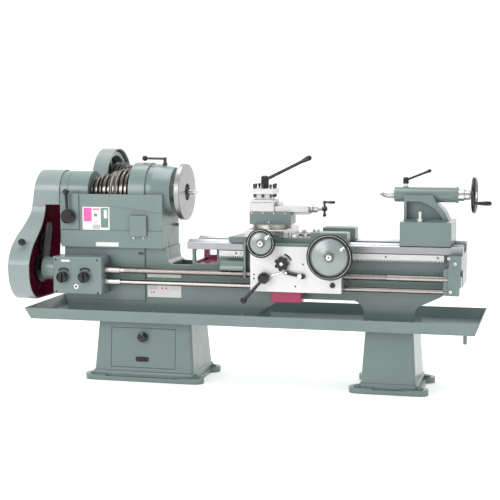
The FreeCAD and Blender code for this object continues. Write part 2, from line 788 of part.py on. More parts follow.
knob_spots = ((-766, 567), (-643, 570))
face = rounded(box((-829, -548), (-245, -235), (476, 676)), 4, lambda m, w, e: m.y < -244)
face_holes = [rod("Y", (-250, -230), spot, 8 + running) for spot in knob_spots]
face_whole = without(face, *face_holes, rod("Y", (-250, -240), (-695, 516), 14))
node("feed_gearbox", bundle(case_whole, face_whole, quadrant_whole))

fittings = [rod("Y", (-247, -245), (x, z), 5) for x in (-811, -572) for z in (484, 660)]

for side, (x, z) in zip(("left", "right"), knob_spots):
    grip = turned("Y", (x, z), [(-284, 20), (-280, 29), (-264, 31), (-257, 26), (-251, 18), (-245.4, 18),
                                (-245.4, 8), (-218, 8)])
    pointer = rounded(box((x - 5, x + 5), (-296, -278), (z - 28, z + 28)), 3, lambda m, w, e: abs(w.y) > 0.8)
    node("selector_knob_" + side, joined(grip, pointer))

arcs = []
for x, z in knob_spots:
    sector = without(rod("Y", (-246, -245), (x, z), 50), rod("Y", (-247, -244), (x, z), 39))
    arcs.append(common(sector, box((x - 30, x + 30), (-248, -243), (z + 28, z + 60))))

sight = turned("Y", (-695, 516), [(-248, 13), (-247, 14), (-240, 14)], 6)
fittings.append(joined(sight, rod("Y", (-245, -240), (-695, 516), 7)))
node("gearbox_fittings", bundle(*(fittings + arcs)))

screw_steps = [(-585, 14), (-547.5, 14), (-547.5, 26), (-532, 26), (-532, 21), (-462, 21), (-462, screw_r),
               (1261.5, screw_r), (1261.5, screw_r - 3), (1325, screw_r - 3)]
node("leadscrew", turned("X", (shaft_y, screw_z), screw_steps))
feed_steps = [(-585, 11), (-547.5, 11), (-547.5, 22), (-532, 22), (-532, 18), (-462, 18), (-462, feed_r),
              (1261.5, feed_r), (1261.5, feed_r - 2), (1325, feed_r - 2)]
node("feed_rod", turned("X", (shaft_y, feed_z), feed_steps))


# ---- belt drive behind the headstock ------------------------------------------

def belt_loop(first, reach, second, other):
    """The outline of a taut band around two circles, the first above the second."""
    across = second[0] - first[0]
    down = second[1] - first[1]
    span = math.hypot(across, down)
    way = math.atan2(down, across)
    lean = math.acos((reach - other) / span)
    start = way + lean
    sweep = 2 * math.pi - 2 * lean
    corners = []
    for part in range(3):
        angle = start + sweep * part / 3
        corners.append((first[0] + reach * math.cos(angle), first[1] + reach * math.sin(angle),
                        math.tan(sweep / 12)))
    angle = start + sweep
    corners.append((first[0] + reach * math.cos(angle), first[1] + reach * math.sin(angle)))
    start = way - lean
    corners.append((second[0] + other * math.cos(start), second[1] + other * math.sin(start),
                    math.tan(2 * lean / 8)))
    corners.append((second[0] + other * math.cos(way), second[1] + other * math.sin(way),
                    math.tan(2 * lean / 8)))
    corners.append((second[0] + other * math.cos(way + lean), second[1] + other * math.sin(way + lean)))
    return corners


def belt(low, high, first, reach, second, other, thick):
    outer = casting("YZ", low, high, belt_loop(first, reach + thick, second, other + thick))
    inner = casting("YZ", low - 1, high + 1, belt_loop(first, reach, second, other))
    return without(outer, inner)


counter = (number(counter_y), number(counter_z))
motor_spot = (number(motor_y), number(motor_z))
guard_reach = number(wheel_r) + 16
drum = casting("YZ", -742, -652, belt_loop(counter, guard_reach, motor_spot, 84))
drum_room = casting("YZ", -737, -640, belt_loop(counter, guard_reach - 5, motor_spot, 79))
drum_holes = [rod("X", (-750, -730), counter, 22), rod("X", (-750, -730), motor_spot, 30)]
node("belt_guard", without(drum, drum_room, *drum_holes))

arm = [(118.4, 560), (178, 560), (352, 1010), (354, 1050), (320, 1078), (284, 1050), (118.4, 716)]
arms = [casting("YZ", -766, -746, arm), casting("YZ", -440, -420, arm),
        box((-746, -440), (128, 150), (575, 600)),
        rod("X", (-770, -745), counter, 34), rod("X", (-444, -418), counter, 34)]
arms_whole = without(joined(*arms), rod("X", (-780, -400), counter, 16 + running))

counter_steps = [(-772, 16), (-667, 16), (-667, 60), (-664, 60)]
station = -664.0
for step in range(4):
    rim = 124 - 15 * step
    for groove in range(2):
        counter_steps += [(station, rim), (station + 4, rim), (station + 9, rim - 14),
                          (station + 18, rim - 14), (station + 23, rim)]
        station += 27
    counter_steps.append((station, rim))
counter_steps += [(station, 16), (-414, 16)]
counter_shaft = turned("X", counter, counter_steps)

rim_steps = [(-724, wheel_r - 4), (-724, wheel_r)]
station = -724.0
for groove in range(3):
    rim_steps += [(station + 2, wheel_r), (station + 5, wheel_r - 11), (station + 12, wheel_r - 11),
                  (station + 15, wheel_r)]
    station += 17
rim_steps += [(-671, wheel_r), (-671, wheel_r - 4)]
rim = turned("X", counter, rim_steps, wheel_r - 22)
hub = turned("X", counter, [(-728, 36), (-669, 36)], 16)
spokes = []
for turn in range(6):
    spoke = wedge((-8, 8), (-16, 16), 26, (-6, 6), (-11, 11), wheel_r - 20)
    spoke_turn = Rotation(Vector(1, 0, 0), 60 * turn + 105)
    spokes.append(place(spoke, -697, counter_y, counter_z, spoke_turn))
big_wheel = without(joined(rim, hub, *spokes), rod("X", (-730, -660), counter, 16))
node("countershaft", bundle(counter_shaft, big_wheel))

frame_steps = [(-600, 40), (-594, 70), (-588, 92), (-560, 95), (-560, 90), (-420, 90), (-420, 95),
               (-386, 95), (-352, 90), (-346, 70)]
motor_parts = [turned("X", motor_spot, frame_steps)]
for turn in range(0, 360, 20):
    fin = box((-556, -424), (-2, 2), (80, 97))
    motor_parts.append(place(fin, -556, motor_y, motor_z, Rotation(Vector(1, 0, 0), turn)))
motor_parts.append(box((-545, -440), (motor_spot[0] - 90, motor_spot[0] + 90), (474.2, 488)))
motor_parts.append(box((-530, -455), (motor_spot[0] - 60, motor_spot[0] + 60), (486, 510)))
motor_parts.append(box((-535, -450), (motor_spot[0] - 38, motor_spot[0] + 38), (650, 690)))
node("motor", without(joined(*motor_parts), rod("X", (-610, -360), motor_spot, 14 + running)))

pulley_steps = [(-735, 14), (-728, 14), (-728, 30), (-724, 30), (-724, 50)]
station = -724.0
for groove in range(3):
    pulley_steps += [(station + 2, 50), (station + 5, 39), (station + 12, 39), (station + 15, 50)]
    station += 17
pulley_steps += [(-671, 50), (-671, 14), (-370, 14)]
node("motor_rotor", turned("X", motor_spot, pulley_steps))

shelf = [box((-640, -328), (128, 430), (462, 474)), box((-640, -328), (118.4, 130), (430, 640)),
         casting("YZ", -630, -618, [(129, 610), (129, 470), (400, 470)]),
         casting("YZ", -340, -328, [(129, 610), (129, 470), (400, 470)])]
shelf_whole = without(joined(*shelf), box((-617, -341), (140, 431), (474.1, 640)))
node("drive_brackets", bundle(arms_whole, shelf_whole))

drive = []
for groove in range(3):
    low = -724 + 17 * groove + 5.2
    drive.append(belt(low, low + 6.6, counter, number(wheel_r) - 9, motor_spot, 41, 9))
for groove in range(2):
    low = -664 + 27 * (4 + groove) + 13.5 - 5.5
    spot = (0.0, number(axis_z))
    drive.append(belt(low, low + 11, counter, 94 - 9.5, spot, 109 - 9.5, 9))
node("v_belts", bundle(*drive))


# ---- carriage -----------------------------------------------------------------

def way_room(view):
    """The way's own outline, grown a little for clearance, as a cutting tool."""
    side = -1 if view == "front" else 1
    flat = number(way_top) - 2.4
    peak = flat + 11.4
    middle = 105 if view == "front" else 82
    half = 13.8 if view == "front" else 12.8
    corners = [(side * (middle - half), flat - 2), (side * (middle - half), flat), (side * middle, peak),
               (side * (middle + half), flat), (side * (middle + half), flat - 2)]
    return corners if side > 0 else corners[::-1]


saddle_view = [(138, -162), (765, -162), (765, -58), (462, -50), (462, 50), (770, 58), (770, 162), (178, 162)]
saddle = casting("XY", way_flat + 0.6, 794, saddle_view)
carve(saddle, "YZ", 100, 800, way_room("front"), way_room("rear"))
rails = box((268, 406), (-158, 158), (790, 806))
skirt = box((215, 765), (-162, -142.2), (729.8, 780))
rear_skirt = box((250, 700), (142.2, 162), (712, 780))
keeper = box((250, 700), (124, 162), (711, 721.3))
bracket = box((330, 378), (-214, -161), (768.3, 794))
saddle_whole = joined(saddle, rails, skirt, rear_skirt, keeper, bracket)
saddle_whole = without(saddle_whole, rod("Y", (-220, -118), (354, 781), 10 + running))

covers = [
    rounded(box((571, 765), (-152, -64), (794.2, 824)), 5, lambda m, w, e: m.z > 820),
    rounded(box((595, 770), (64, 152), (794.2, 833)), 8, lambda m, w, e: m.z > 830),
]
node("saddle", bundle(saddle_whole, *covers))

fittings = [
    rod("Z", (794.2, 824), (462, -138), 9), rod("Z", (794.2, 832), (505, -138), 6),
    rod("Z", (794.2, 812), (540, -118), 11), rod("Z", (812, 834), (540, -118), 6),
    box((475, 495), (-150, -90), (794.2, 806)), rod("Z", (794.2, 828), (520, -80), 7),
    rod("Z", (794.2, 818), (552, -146), 5),
]
small = [fittings[0], fittings[1], joined(fittings[2], fittings[3]), fittings[4], fittings[5], fittings[6]]
clamps = [joined(rod("Z", (824.2, 830), (x, -110), 5), ball(x, -110, 834, 8)) for x in (584, 606)]
node("saddle_fittings", bundle(*(small + clamps)))

apron = box((228, 757), (-255, -163), (525, 768))
apron_cuts = [
    box((220, 281), (-260, -140), (500, 583)),
    box((220, 281), (-260, -206), (500, 790)),
    box((240, 745), (-243, -171), (537, 756)),
    rod("X", (220, 770), (shaft_y, screw_z), screw_r + gap),
    rod("X", (220, 770), (shaft_y, feed_z), feed_r + gap),
]
apron_bores = {
    "hand": (708, 718), "star": (452, 673), "link": (474, 627), "half": (359, 598),
}
shaft_sizes = {"hand": 14, "star": 8, "link": 7, "half": 10}


def bores_through(near, far):
    """The apron's shaft bores, cut from one depth to another."""
    return [rod("Y", (near, far), spot, shaft_sizes[name] + running)
            for name, spot in apron_bores.items()]


pinion_spot = (708 - 49.3, 718 - 63.0)
apron_cuts.append(rod("Y", (-180, -160), pinion_spot, 12 + running))
apron_cuts.append(box((318, 402), (-180, -160), (560, 660)))
apron_cuts.append(rod("Y", (-256, -216), (354, 781), 28))
apron_whole = without(apron, *(apron_cuts + bores_through(-260, -240)))

face = rounded(box((281, 757), (-267, -255.2), (525, 759)), 3, lambda m, w, e: abs(w.y) > 0.8)
node("apron_plate", without(face, *bores_through(-270, -250)))

sump = rounded(box((385, 544), (-244, -168), (467, 524.6)), 6, upright)
node("oil_sump", rounded(sump, 4, lambda m, w, e: m.z < 470))

plug = turned("Y", (712, 567), [(-277, 8), (-275, 13), (-269, 14), (-267, 14)])
dots = [rod("Y", (-268.5, -267), spot, 4) for spot in ((560, 671), (519, 556), (300, 613), (300, 592),
                                                       (296, 740))]
arc = without(rod("Y", (-268.4, -267), (452, 673), 52), rod("Y", (-270, -266), (452, 673), 43))
arc = common(arc, box((462, 510), (-271, -265), (690, 740)))
rail = bar((386, -271, 606), (452, -271, 628), 4)
node("apron_fittings", bundle(plug, arc, rail, *dots))

screw_cover = casting("YZ", 100, 227.4, [(-212, 621.8), (-166, 621.8), (-166, 668), (-194, 668), (-194, 646),
                                         (-212, 632)])
node("apron", bundle(apron_whole, screw_cover))


def handwheel(spot, middle, reach, turn, shaft, back):
    """A dished wheel with three arms, a round rim, a hub and a crank handle."""
    x, z = spot
    thick = 9.5
    web = rod("Y", (middle - 4, middle + 4), spot, reach - thick)
    holes = []
    for part in range(3):
        angle = math.radians(90 + 120 * part)
        lobe = rod("Y", (middle - 10, middle + 10),
                   (x + math.cos(angle) * reach * 0.57, z + math.sin(angle) * reach * 0.57), reach * 0.29)
        holes.append(lobe)
    face = without(web, *holes)
    grip_angle = math.radians(turn)
    grip_x = x + math.cos(grip_angle) * reach * 0.74
    grip_z = z + math.sin(grip_angle) * reach * 0.74
    pieces = [
        face,
        ring("Y", middle, spot, reach - thick, thick),
        turned("Y", spot, [(middle - 22, 11), (middle - 20, 15), (middle - 4, 19), (middle + 4, 26),
                           (middle + 26, 24), (middle + 27, shaft), (back, shaft)]),
        rod("Y", (middle - 12, middle + 4), (grip_x, grip_z), 9),
        turned("Y", (grip_x, grip_z), [(middle - 70, 5), (middle - 67, 9), (middle - 50, 11),
                                       (middle - 24, 8), (middle - 14, 6), (middle - 10, 6)]),
    ]
    return pieces


hand_gear = toothed("Y", (-225, -205), apron_bores["hand"], 20, 2, 13.9)
node("carriage_handwheel", joined(*(handwheel(apron_bores["hand"], -330, 118, 33, 14, -200) + [hand_gear])))

big_phase = mesh("Y", apron_bores["hand"], 20, 0.0, pinion_spot, 60)
pinion_teeth = 14
pinion_angle = facing("Y", pinion_spot, (pinion_spot[0], pinion_spot[1] + 10))
rack_share = ((pinion_spot[0] - rack_start) / rack_pitch) % 1.0
pinion_phase = pinion_angle * pinion_teeth / (2 * math.pi) - rack_share
pinion_parts = [
    rod("Y", (-239, -119.5), pinion_spot, 12),
    toothed("Y", (-225, -205), pinion_spot, 60, 2, 11.9, big_phase),
    toothed("Y", (-139, -119.5), pinion_spot, pinion_teeth, 4, 11.9, pinion_phase),
]
node("rack_pinion", joined(*pinion_parts))

cross_parts = handwheel((354, 781), -330, 76, 38, 10, -122)
cross_parts.append(turned("Y", (354, 781), [(-246, 12), (-243, 24), (-222, 26), (-221, 12)]))
node("cross_feed_handwheel", joined(*cross_parts))

lobes = [rod("Y", (-292, -274), (452 + 29 * math.cos(math.radians(51.43 * k)),
                                 673 + 29 * math.sin(math.radians(51.43 * k))), 9) for k in range(7)]
star = [rod("Y", (-292, -274), apron_bores["star"], 28), rod("Y", (-298, -290), apron_bores["star"], 9),
        rod("Y", (-276, -244.5), apron_bores["star"], 8)]
node("star_knob", joined(*(star + lobes)))

link = [
    rod("Y", (-286, -274), apron_bores["link"], 11),
    rod("Y", (-290, -244.5), apron_bores["link"], 7),
    rod("Y", (-286, -274), (560, 610), 13),
    bar((474, -280, 627), (560, -280, 610), 9),
    rod("Y", (-300, -272), (548, 613), 11),
]
node("feed_selector", joined(*link))

half = [
    turned("Y", (359, 598), [(-322, 16), (-316, 26), (-296, 31), (-284, 28), (-276, 14), (-267.6, 14),
                             (-267.6, 10), (-240, 10)]),
    bar((352, -304, 588), (259, -319, 483), 7.5, 9.5),
    ball(259, -319, 483, 17, 180),
]
node("half_nut_lever", joined(*half))

nut_open = 6.0
upper_nut = without(box((330, 390), (-215, -171.5), (612, 646)),
                    rod("X", (320, 400), (shaft_y, screw_z + nut_open), screw_r + 0.6))
node("half_nut", upper_nut)

slide = box((226, 436), (-170, 190), (794.6, 832))
slide = rounded(slide, 3, lambda m, w, e: m.z > 830)
node("cross_slide", without(slide, box((267.4, 406.6), (-180, 200), (790, 806.6))))

swivel = (337, 0)
compound = [
    rod("Z", (832.2, 854), swivel, 108),
    box((224, 448), (-60, 60), (853, 919.6)),
]
compound_whole = without(joined(*compound), box((210, 460), (-31, 31), (903, 925)))
gibs = [rod("Y", (-63.5, -60), (x, 911), 4.5) for x in (237, 297, 357, 417)]
gibs.append(rod("Y", (-63.5, -60), (330, 864), 5))
node("compound_base", bundle(compound_whole, *gibs))

top = [
    box((224, 540), (-50, 50), (920, 948)),
    box((224, 540), (-30, 30), (903.6, 921)),
    box((224, 356), (-58, 58), (920, 970.7)),
    box((350, 380), (-20, 58), (920, 966)),
    rod("X", (538, 556), (0, 936), 24),
    rod("X", (555, 562), (0, 936), 17),
    rod("Z", (970, 1100), (294, 0), 14),
]
top_whole = rounded(joined(*top), 3, lambda m, w, e: m.z > 969 and m.z < 972 and abs(w.z) < 0.1)
node("top_slide", without(top_whole, rod("X", (480, 600), (0, 936), 8 + running)))

crank = [
    turned("X", (0, 936), [(486, 8), (562.6, 8), (562.6, 22), (582, 22), (584, 12), (600, 10), (606, 13),
                           (628, 13), (632, 7)]),
    bar((617, 0, 904), (617, 0, 970), 6),
    ball(617, 0, 902, 10), ball(617, 0, 970, 9),
    turned("X", (0, 970), [(622, 4), (632, 6), (650, 8), (668, 8), (674, 4)]),
]
node("compound_crank", joined(*crank))

post = (294, 0)
turret = [
    box((230, 358), (-64, 64), (971.2, 981)), box((250, 338), (-44, 44), (980, 1014)),
    box((230, 358), (-64, 64), (1013, 1041)),
]
turret_whole = rounded(joined(*turret), 4, upright)
clamp_spots = []
for along in (-44, 0, 44):
    clamp_spots += [(294 + along, -54), (294 + along, 54)]
clamp_spots += [(240, -20), (240, 20), (348, -20), (348, 20)]
clamp_holes = [rod("Z", (1000, 1050), spot, 5) for spot in clamp_spots]
node("tool_post", without(turret_whole, rod("Z", (960, 1050), post, 14 + running), *clamp_holes))

heads = []
for x, y in clamp_spots:
    head = box((x - 6, x + 6), (y - 6, y + 6), (1050, 1064))
    heads.append(joined(rod("Z", (994, 1052), (x, y), 5), head))
node("clamp_screws", bundle(*heads))

handle = [
    turned("Z", post, [(1041.6, 19), (1045, 21), (1098, 21), (1105, 17), (1108, 9)], 0),
    bar((294, 0, 1084), (500, 0, 1185), 8.5, 8.5),
    bar((496, 0, 1183), (532, 0, 1201), 9.5, 14), ball(534, 0, 1202, 14),
]
node("tool_post_lever", without(joined(*handle), rod("Z", (1030, 1100.5), post, 14 + running)))


# ---- tailstock ------------------------------------------------------------------

base = casting("XZ", -way_half, way_half, block((1033, 1293), (way_flat + 0.6, 884)))
carve(base, "YZ", 1000, 1320, way_room("front"), way_room("rear"))
carve(base, "XY", 700, 866, block((1047, 1279), (-50, 50)))
base = rounded(base, 4, upright)
base_whole = without(base, rod("Z", (860, 900), (1131, 0), 12), rod("Z", (835, 900), (1131, -100), 9))

body_view = [(1044, 884.2), (1274, 884.2), (1258, 921, 0.1), (1212, 972), (1190, axis_z), (1044, axis_z)]
body = casting("XZ", -64, 64, body_view)
recess = [(1058, 892), (1243, 892, 0.08), (1206, 944, 0.12), (1120, 984), (1058, 984)]
carve(body, "XZ", -70, -24, recess)
carve(body, "XZ", 24, 70, recess)
tail_cuts = [
    rod("X", (980, 1250), spindle_line, quill_r + running),
    rod("X", (1240, 1320), spindle_line, 12 + running),
    rod("Z", (1030, 1060), (1045, 0), 7 + running),
]
barrel_steps = [(988, barrel_r - 3), (991, barrel_r), (1300, barrel_r), (1304, barrel_r + 3),
                (1315, barrel_r + 3)]
tail_whole = joined(body, turned("X", spindle_line, barrel_steps), rod("Z", (1044, 1057), (1045, 0), 15))
node("tailstock", bundle(base_whole, without(tail_whole, *tail_cuts)))

quill = turned("X", spindle_line, [(946, quill_r - 2), (948, quill_r), (1210, quill_r)], 12)
node("quill", quill)
point = turned("X", spindle_line, [(907, 0.4), (936, 16.5), (945.5, 17), (945.5, 12), (1040, 12)])
node("dead_centre", point)

wheel_parts = [
    turned("X", spindle_line, [(1060, 11), (1246, 11), (1246, 12), (1315.5, 12), (1315.5, 33), (1344, 34),
                               (1346, 27), (1372, 27), (1376, 20), (1404, 18), (1408, 12)]),
    ring("X", 1395, spindle_line, 83, 11.5),
    rod("X", (1391, 1399), spindle_line, 84),
    rod("X", (1396, 1406), (-66, axis_z - 37), 10),
    turned("X", (-66, axis_z - 37), [(1404, 5), (1412, 6), (1424, 9), (1462, 12), (1480, 11), (1486, 6)]),
]
wheel_holes = []
for part in range(3):
    angle = math.radians(30 + 120 * part)
    spot = (math.cos(angle) * 50, axis_z + math.sin(angle) * 50)
    wheel_holes.append(rod("X", (1380, 1403), spot, 23))
node("tailstock_handwheel", without(joined(*wheel_parts), *wheel_holes))

lock = [
    turned("Z", (1045, 0), [(1040, 7), (1057.5, 7), (1057.5, 12), (1072, 12), (1072, 15), (1100, 15),
                            (1106, 9)]),
    bar((1045, 0, 1090), (1150, 0, 1132), 6, 6), bar((1148, 0, 1131), (1166, 0, 1139), 7, 9),
    ball(1167, 0, 1139, 9),
]
node("quill_lock_lever", joined(*lock))

clamp = [
    box((1100, 1162), (-88, 88), (704, 719)), rod("Z", (718, 876), (1131, 0), 9),
    rod("Z", (884.3, 900), (1131, -100), 15), rod("Z", (840, 936), (1131, -100), 8.5),
    rod("Z", (866.4, 884), (1131, 0), 11.5),
]
node("tailstock_clamp", bundle(joined(clamp[0], clamp[1], clamp[4]), joined(clamp[2], clamp[3])))


# ---- check and export ---------------------------------------------------------

doc.recompute()
bad = []
for part in doc.Objects:
    if "Invalid" in part.State or "Error" in part.State:
        bad.append(part.Name)
for part in nodes:
    shape = part.Shape
    if shape.isNull() or not shape.isValid() or shape.Volume <= 0:
        bad.append(part.Label)
        continue
    shape.exportStep("parts/%s.step" % part.Label)
print("parts written:", len(nodes), "problems:", bad)
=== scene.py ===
import json
import math

import bmesh
import bpy
from mathutils import Matrix, Vector


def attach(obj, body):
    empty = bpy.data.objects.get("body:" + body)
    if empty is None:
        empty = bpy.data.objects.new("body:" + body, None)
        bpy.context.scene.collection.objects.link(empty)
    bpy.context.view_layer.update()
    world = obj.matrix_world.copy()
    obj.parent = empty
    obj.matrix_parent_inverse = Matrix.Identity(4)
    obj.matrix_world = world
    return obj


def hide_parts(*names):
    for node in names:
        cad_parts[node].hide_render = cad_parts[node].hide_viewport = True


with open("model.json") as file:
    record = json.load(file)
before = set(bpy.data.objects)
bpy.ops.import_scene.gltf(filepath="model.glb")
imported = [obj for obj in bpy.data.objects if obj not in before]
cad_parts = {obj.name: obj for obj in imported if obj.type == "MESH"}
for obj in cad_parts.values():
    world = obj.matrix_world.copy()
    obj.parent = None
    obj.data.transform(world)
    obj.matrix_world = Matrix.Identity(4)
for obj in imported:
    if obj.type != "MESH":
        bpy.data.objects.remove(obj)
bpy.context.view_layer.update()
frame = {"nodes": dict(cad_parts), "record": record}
nodes = frame["nodes"]


def at(x, y, z):
    """A point given in the design's own drawing datum, in millimetres, as a point in the frame."""
    return Vector(((x - 223) / 1000, (y - 60) / 1000, z / 1000))


# ---- materials ---------------------------------------------------------------

class Surface:
    """A material's node graph, with short helpers for the nodes every finish uses."""

    def __init__(self, name):
        self.mat = bpy.data.materials.new(name)
        self.mat.use_nodes = True
        self.tree = self.mat.node_tree
        self.shader = self.tree.nodes["Principled BSDF"]
        self.object = self.tree.nodes.new("ShaderNodeTexCoord").outputs["Object"]

    def node(self, kind, inputs=None, **props):
        made = self.tree.nodes.new("ShaderNode" + kind)
        for key, value in props.items():
            setattr(made, key, value)
        for key, value in (inputs or {}).items():
            socket = made.inputs[key]
            if isinstance(value, bpy.types.NodeSocket):
                self.tree.links.new(value, socket)
            else:
                socket.default_value = value
        return made

    def stretched(self, scale):
        return self.node("Mapping", {"Vector": self.object, "Scale": scale}).outputs[0]

    def noise(self, scale, detail=3.0, rough=0.55, vector=None):
        made = self.node("TexNoise", {"Vector": vector or self.object, "Scale": scale, "Detail": detail,
                                      "Roughness": rough})
        return made.outputs["Fac"]

    def remap(self, value, low, high, to_low=0.0, to_high=1.0):
        made = self.node("MapRange", {"Value": value, "From Min": low, "From Max": high, "To Min": to_low,
                                      "To Max": to_high})
        return made.outputs[0]

    def math(self, operation, a, b=0.5):
        return self.node("Math", {0: a, 1: b}, operation=operation).outputs[0]

    def mix(self, share, a, b, blend="MIX"):
        made = self.node("Mix", {0: share}, data_type="RGBA", blend_type=blend)
        for index, value in ((6, a), (7, b)):
            if isinstance(value, bpy.types.NodeSocket):
                self.tree.links.new(value, made.inputs[index])
            else:
                made.inputs[index].default_value = tuple(value) + (1.0,)
        return made.outputs[2]

    def edges(self, radius, low=0.02, high=0.30):
        """1 on sharp outer and inner edges, 0 on flats."""
        bevel = self.node("Bevel", {"Radius": radius}, samples=4).outputs[0]
        normal = self.node("NewGeometry").outputs["Normal"]
        dot = self.node("VectorMath", {0: bevel, 1: normal}, operation="DOT_PRODUCT").outputs["Value"]
        return self.remap(self.math("SUBTRACT", 1.0, dot), low, high)

    def occlusion_shade(self, distance, low=0.35, high=0.9):
        """An ambient-occlusion mask for painted shade: 1 in corners and seams, 0 in the open."""
        shade = self.node("AmbientOcclusion", {"Distance": distance}, samples=4).outputs["AO"]
        return self.remap(shade, low, high, 1.0, 0.0)

    def bump(self, height, strength, distance, radius=0.0):
        inputs = {"Height": height, "Strength": strength, "Distance": distance}
        if radius:
            inputs["Normal"] = self.node("Bevel", {"Radius": radius}, samples=4).outputs[0]
        self.link("Normal", self.node("Bump", inputs).outputs[0])

    def link(self, name, value):
        if isinstance(value, bpy.types.NodeSocket):
            self.tree.links.new(value, self.shader.inputs[name])
        else:
            self.shader.inputs[name].default_value = value


def scaled(colour, share):
    return tuple(min(1.0, c * share) for c in colour)


def enamel(name, colour, rough=0.30, soil_and_shade_weight=0.45, radius=0.003):
    """Brushed-on machine enamel over filled castings: slight orange peel, rubbed edges, soiling mixed with
    painted shade in seams.
    """
    s = Surface(name)
    broad = s.remap(s.noise(2.2, 4), 0.3, 0.7)
    patch = s.remap(s.noise(19, 5, 0.62), 0.35, 0.7)
    speck = s.remap(s.noise(140, 2), 0.62, 0.78)
    base = s.mix(broad, scaled(colour, 0.94), scaled(colour, 1.06))
    base = s.mix(s.math("MULTIPLY", patch, 0.22), base, scaled(colour, 0.86))
    base = s.mix(s.math("MULTIPLY", speck, 0.10), base, scaled(colour, 0.65))
    worn = s.math("MULTIPLY", s.edges(radius * 0.8), s.remap(s.noise(34, 4), 0.40, 0.66))
    base = s.mix(s.math("MULTIPLY", worn, 0.40), base, scaled(colour, 1.5))
    # painted shade: darker in corners and seams where occlusion is high, mottled by noise like soiling
    seam_shade_and_soil = s.math("MULTIPLY", s.occlusion_shade(0.030), s.remap(s.noise(11, 4), 0.2, 0.8, 0.5, 1.0))
    base = s.mix(s.math("MULTIPLY", seam_shade_and_soil, soil_and_shade_weight), base, scaled(colour, 0.30))
    s.link("Base Color", base)
    s.link("Roughness", s.remap(s.math("ADD", patch, seam_shade_and_soil), 0.0, 1.6, rough, rough + 0.20))
    s.link("Coat Weight", 0.40)
    s.link("Coat Roughness", 0.14)
    peel = s.math("ADD", s.noise(230, 2), s.math("MULTIPLY", s.noise(28, 3), 2.5))
    s.bump(peel, 0.22, 0.0006, radius)
    return s.mat


def metal(name, colour, rough=0.25, grain=(2, 260, 260), streak=0.14, tarnish_and_shade=0.25, radius=0.0015, pits=0.0,
          metallic=1.0, updown_face_shade=0.0):
    """Ground or turned bare metal with a directional grain, oil tint, stains, painted shade in the seams, a
    painted highlight on sharp edges and optional painted shade on faces that point up or down.
    """
    s = Surface(name)
    line = s.noise(1.0, 4, 0.6, s.stretched(grain))
    cloud = s.remap(s.noise(9, 4), 0.3, 0.72)
    stain = s.remap(s.noise(45, 4, 0.65), 0.52, 0.72)
    base = s.mix(cloud, scaled(colour, 0.93), scaled(colour, 1.04))
    base = s.mix(s.math("MULTIPLY", s.remap(line, 0.35, 0.65), streak), base, scaled(colour, 0.72))
    base = s.mix(s.math("MULTIPLY", stain, tarnish_and_shade * 0.5), base, scaled(colour, 0.55))
    # painted shade: corners and seams darkened towards near black by ambient occlusion
    seam_shade_and_soil = s.occlusion_shade(0.018)
    base = s.mix(s.math("MULTIPLY", seam_shade_and_soil, tarnish_and_shade * 1.6), base, (0.06, 0.05, 0.042))
    # painted highlight: lighter colour along sharp edges
    edge_highlight = s.edges(radius)
    base = s.mix(s.math("MULTIPLY", edge_highlight, 0.35), base, scaled(colour, 1.25))
    # painted shade: faces that point up or down are darkened, standing in for dark reflections
    if updown_face_shade:
        upright = s.node("SeparateXYZ", {0: s.node("NewGeometry").outputs["Normal"]}).outputs["Z"]
        top_bottom_shade_mask = s.remap(s.math("ABSOLUTE", upright), 0.30, 0.80, 0.0, updown_face_shade)
        base = s.mix(top_bottom_shade_mask, base, (0.060, 0.052, 0.046))
    s.link("Base Color", base)
    s.link("Metallic", metallic)
    rougher = s.math("ADD", s.math("MULTIPLY", line, 0.5), s.math("MULTIPLY", cloud, 0.5))
    s.link("Roughness", s.remap(rougher, 0.25, 0.75, rough, rough + 0.16))
    height = line
    if pits:
        height = s.math("ADD", s.math("MULTIPLY", line, 0.4), s.math("MULTIPLY", s.noise(120, 3), pits))
    s.bump(height, 0.25, 0.0004, radius)
    return s.mat


def turned_face(name, colour, centre, rough=0.22, axis="X", metallic=1.0):
    """Facing marks in rings round an axis, as a lathe leaves them."""
    s = Surface(name)
    moved = s.node("Mapping", {"Vector": s.object, "Location": tuple(-c for c in centre)}).outputs[0]
    flat = {"X": (0, 1, 1), "Y": (1, 0, 1), "Z": (1, 1, 0)}[axis]
    radial = s.node("VectorMath", {0: moved, 1: flat}, operation="MULTIPLY").outputs[0]
    reach = s.node("VectorMath", {0: radial}, operation="LENGTH").outputs["Value"]
    rings = s.node("TexNoise", {"W": s.math("MULTIPLY", reach, 900.0), "Scale": 1.0, "Detail": 3.0},
                   noise_dimensions="1D").outputs["Fac"]
    cloud = s.remap(s.noise(8, 4), 0.3, 0.7)
    base = s.mix(cloud, scaled(colour, 0.90), scaled(colour, 1.05))
    base = s.mix(s.remap(rings, 0.4, 0.65, 0.0, 0.25), base, scaled(colour, 0.72))
    stain = s.remap(s.noise(30, 4, 0.65), 0.55, 0.75)
    base = s.mix(s.math("MULTIPLY", stain, 0.20), base, scaled(colour, 0.5))
    # painted shade: darker in corners and recesses
    base = s.mix(s.math("MULTIPLY", s.occlusion_shade(0.02), 0.5), base, (0.05, 0.045, 0.04))
    s.link("Base Color", base)
    s.link("Metallic", metallic)
    s.link("Roughness", s.remap(rings, 0.3, 0.7, rough, rough + 0.18))
    s.bump(rings, 0.20, 0.0003, 0.0015)
    return s.mat


def plastic(name, colour, rough=0.12, haze=0.05):
    """Moulded phenolic: deep gloss, a little dust and finger haze."""
    s = Surface(name)
    dust = s.remap(s.noise(26, 4, 0.6), 0.45, 0.75)
    base = s.mix(s.math("MULTIPLY", dust, haze), colour, (0.22, 0.22, 0.21))
    # painted highlight: lighter grey along sharp edges
    base = s.mix(s.math("MULTIPLY", s.edges(0.0012), 0.15), base, (0.16, 0.16, 0.16))
    s.link("Base Color", base)
    s.link("Roughness", s.remap(dust, 0.0, 1.0, rough, rough + 0.18))
    s.bump(s.noise(160, 3), 0.12, 0.0003, 0.0012)
    return s.mat


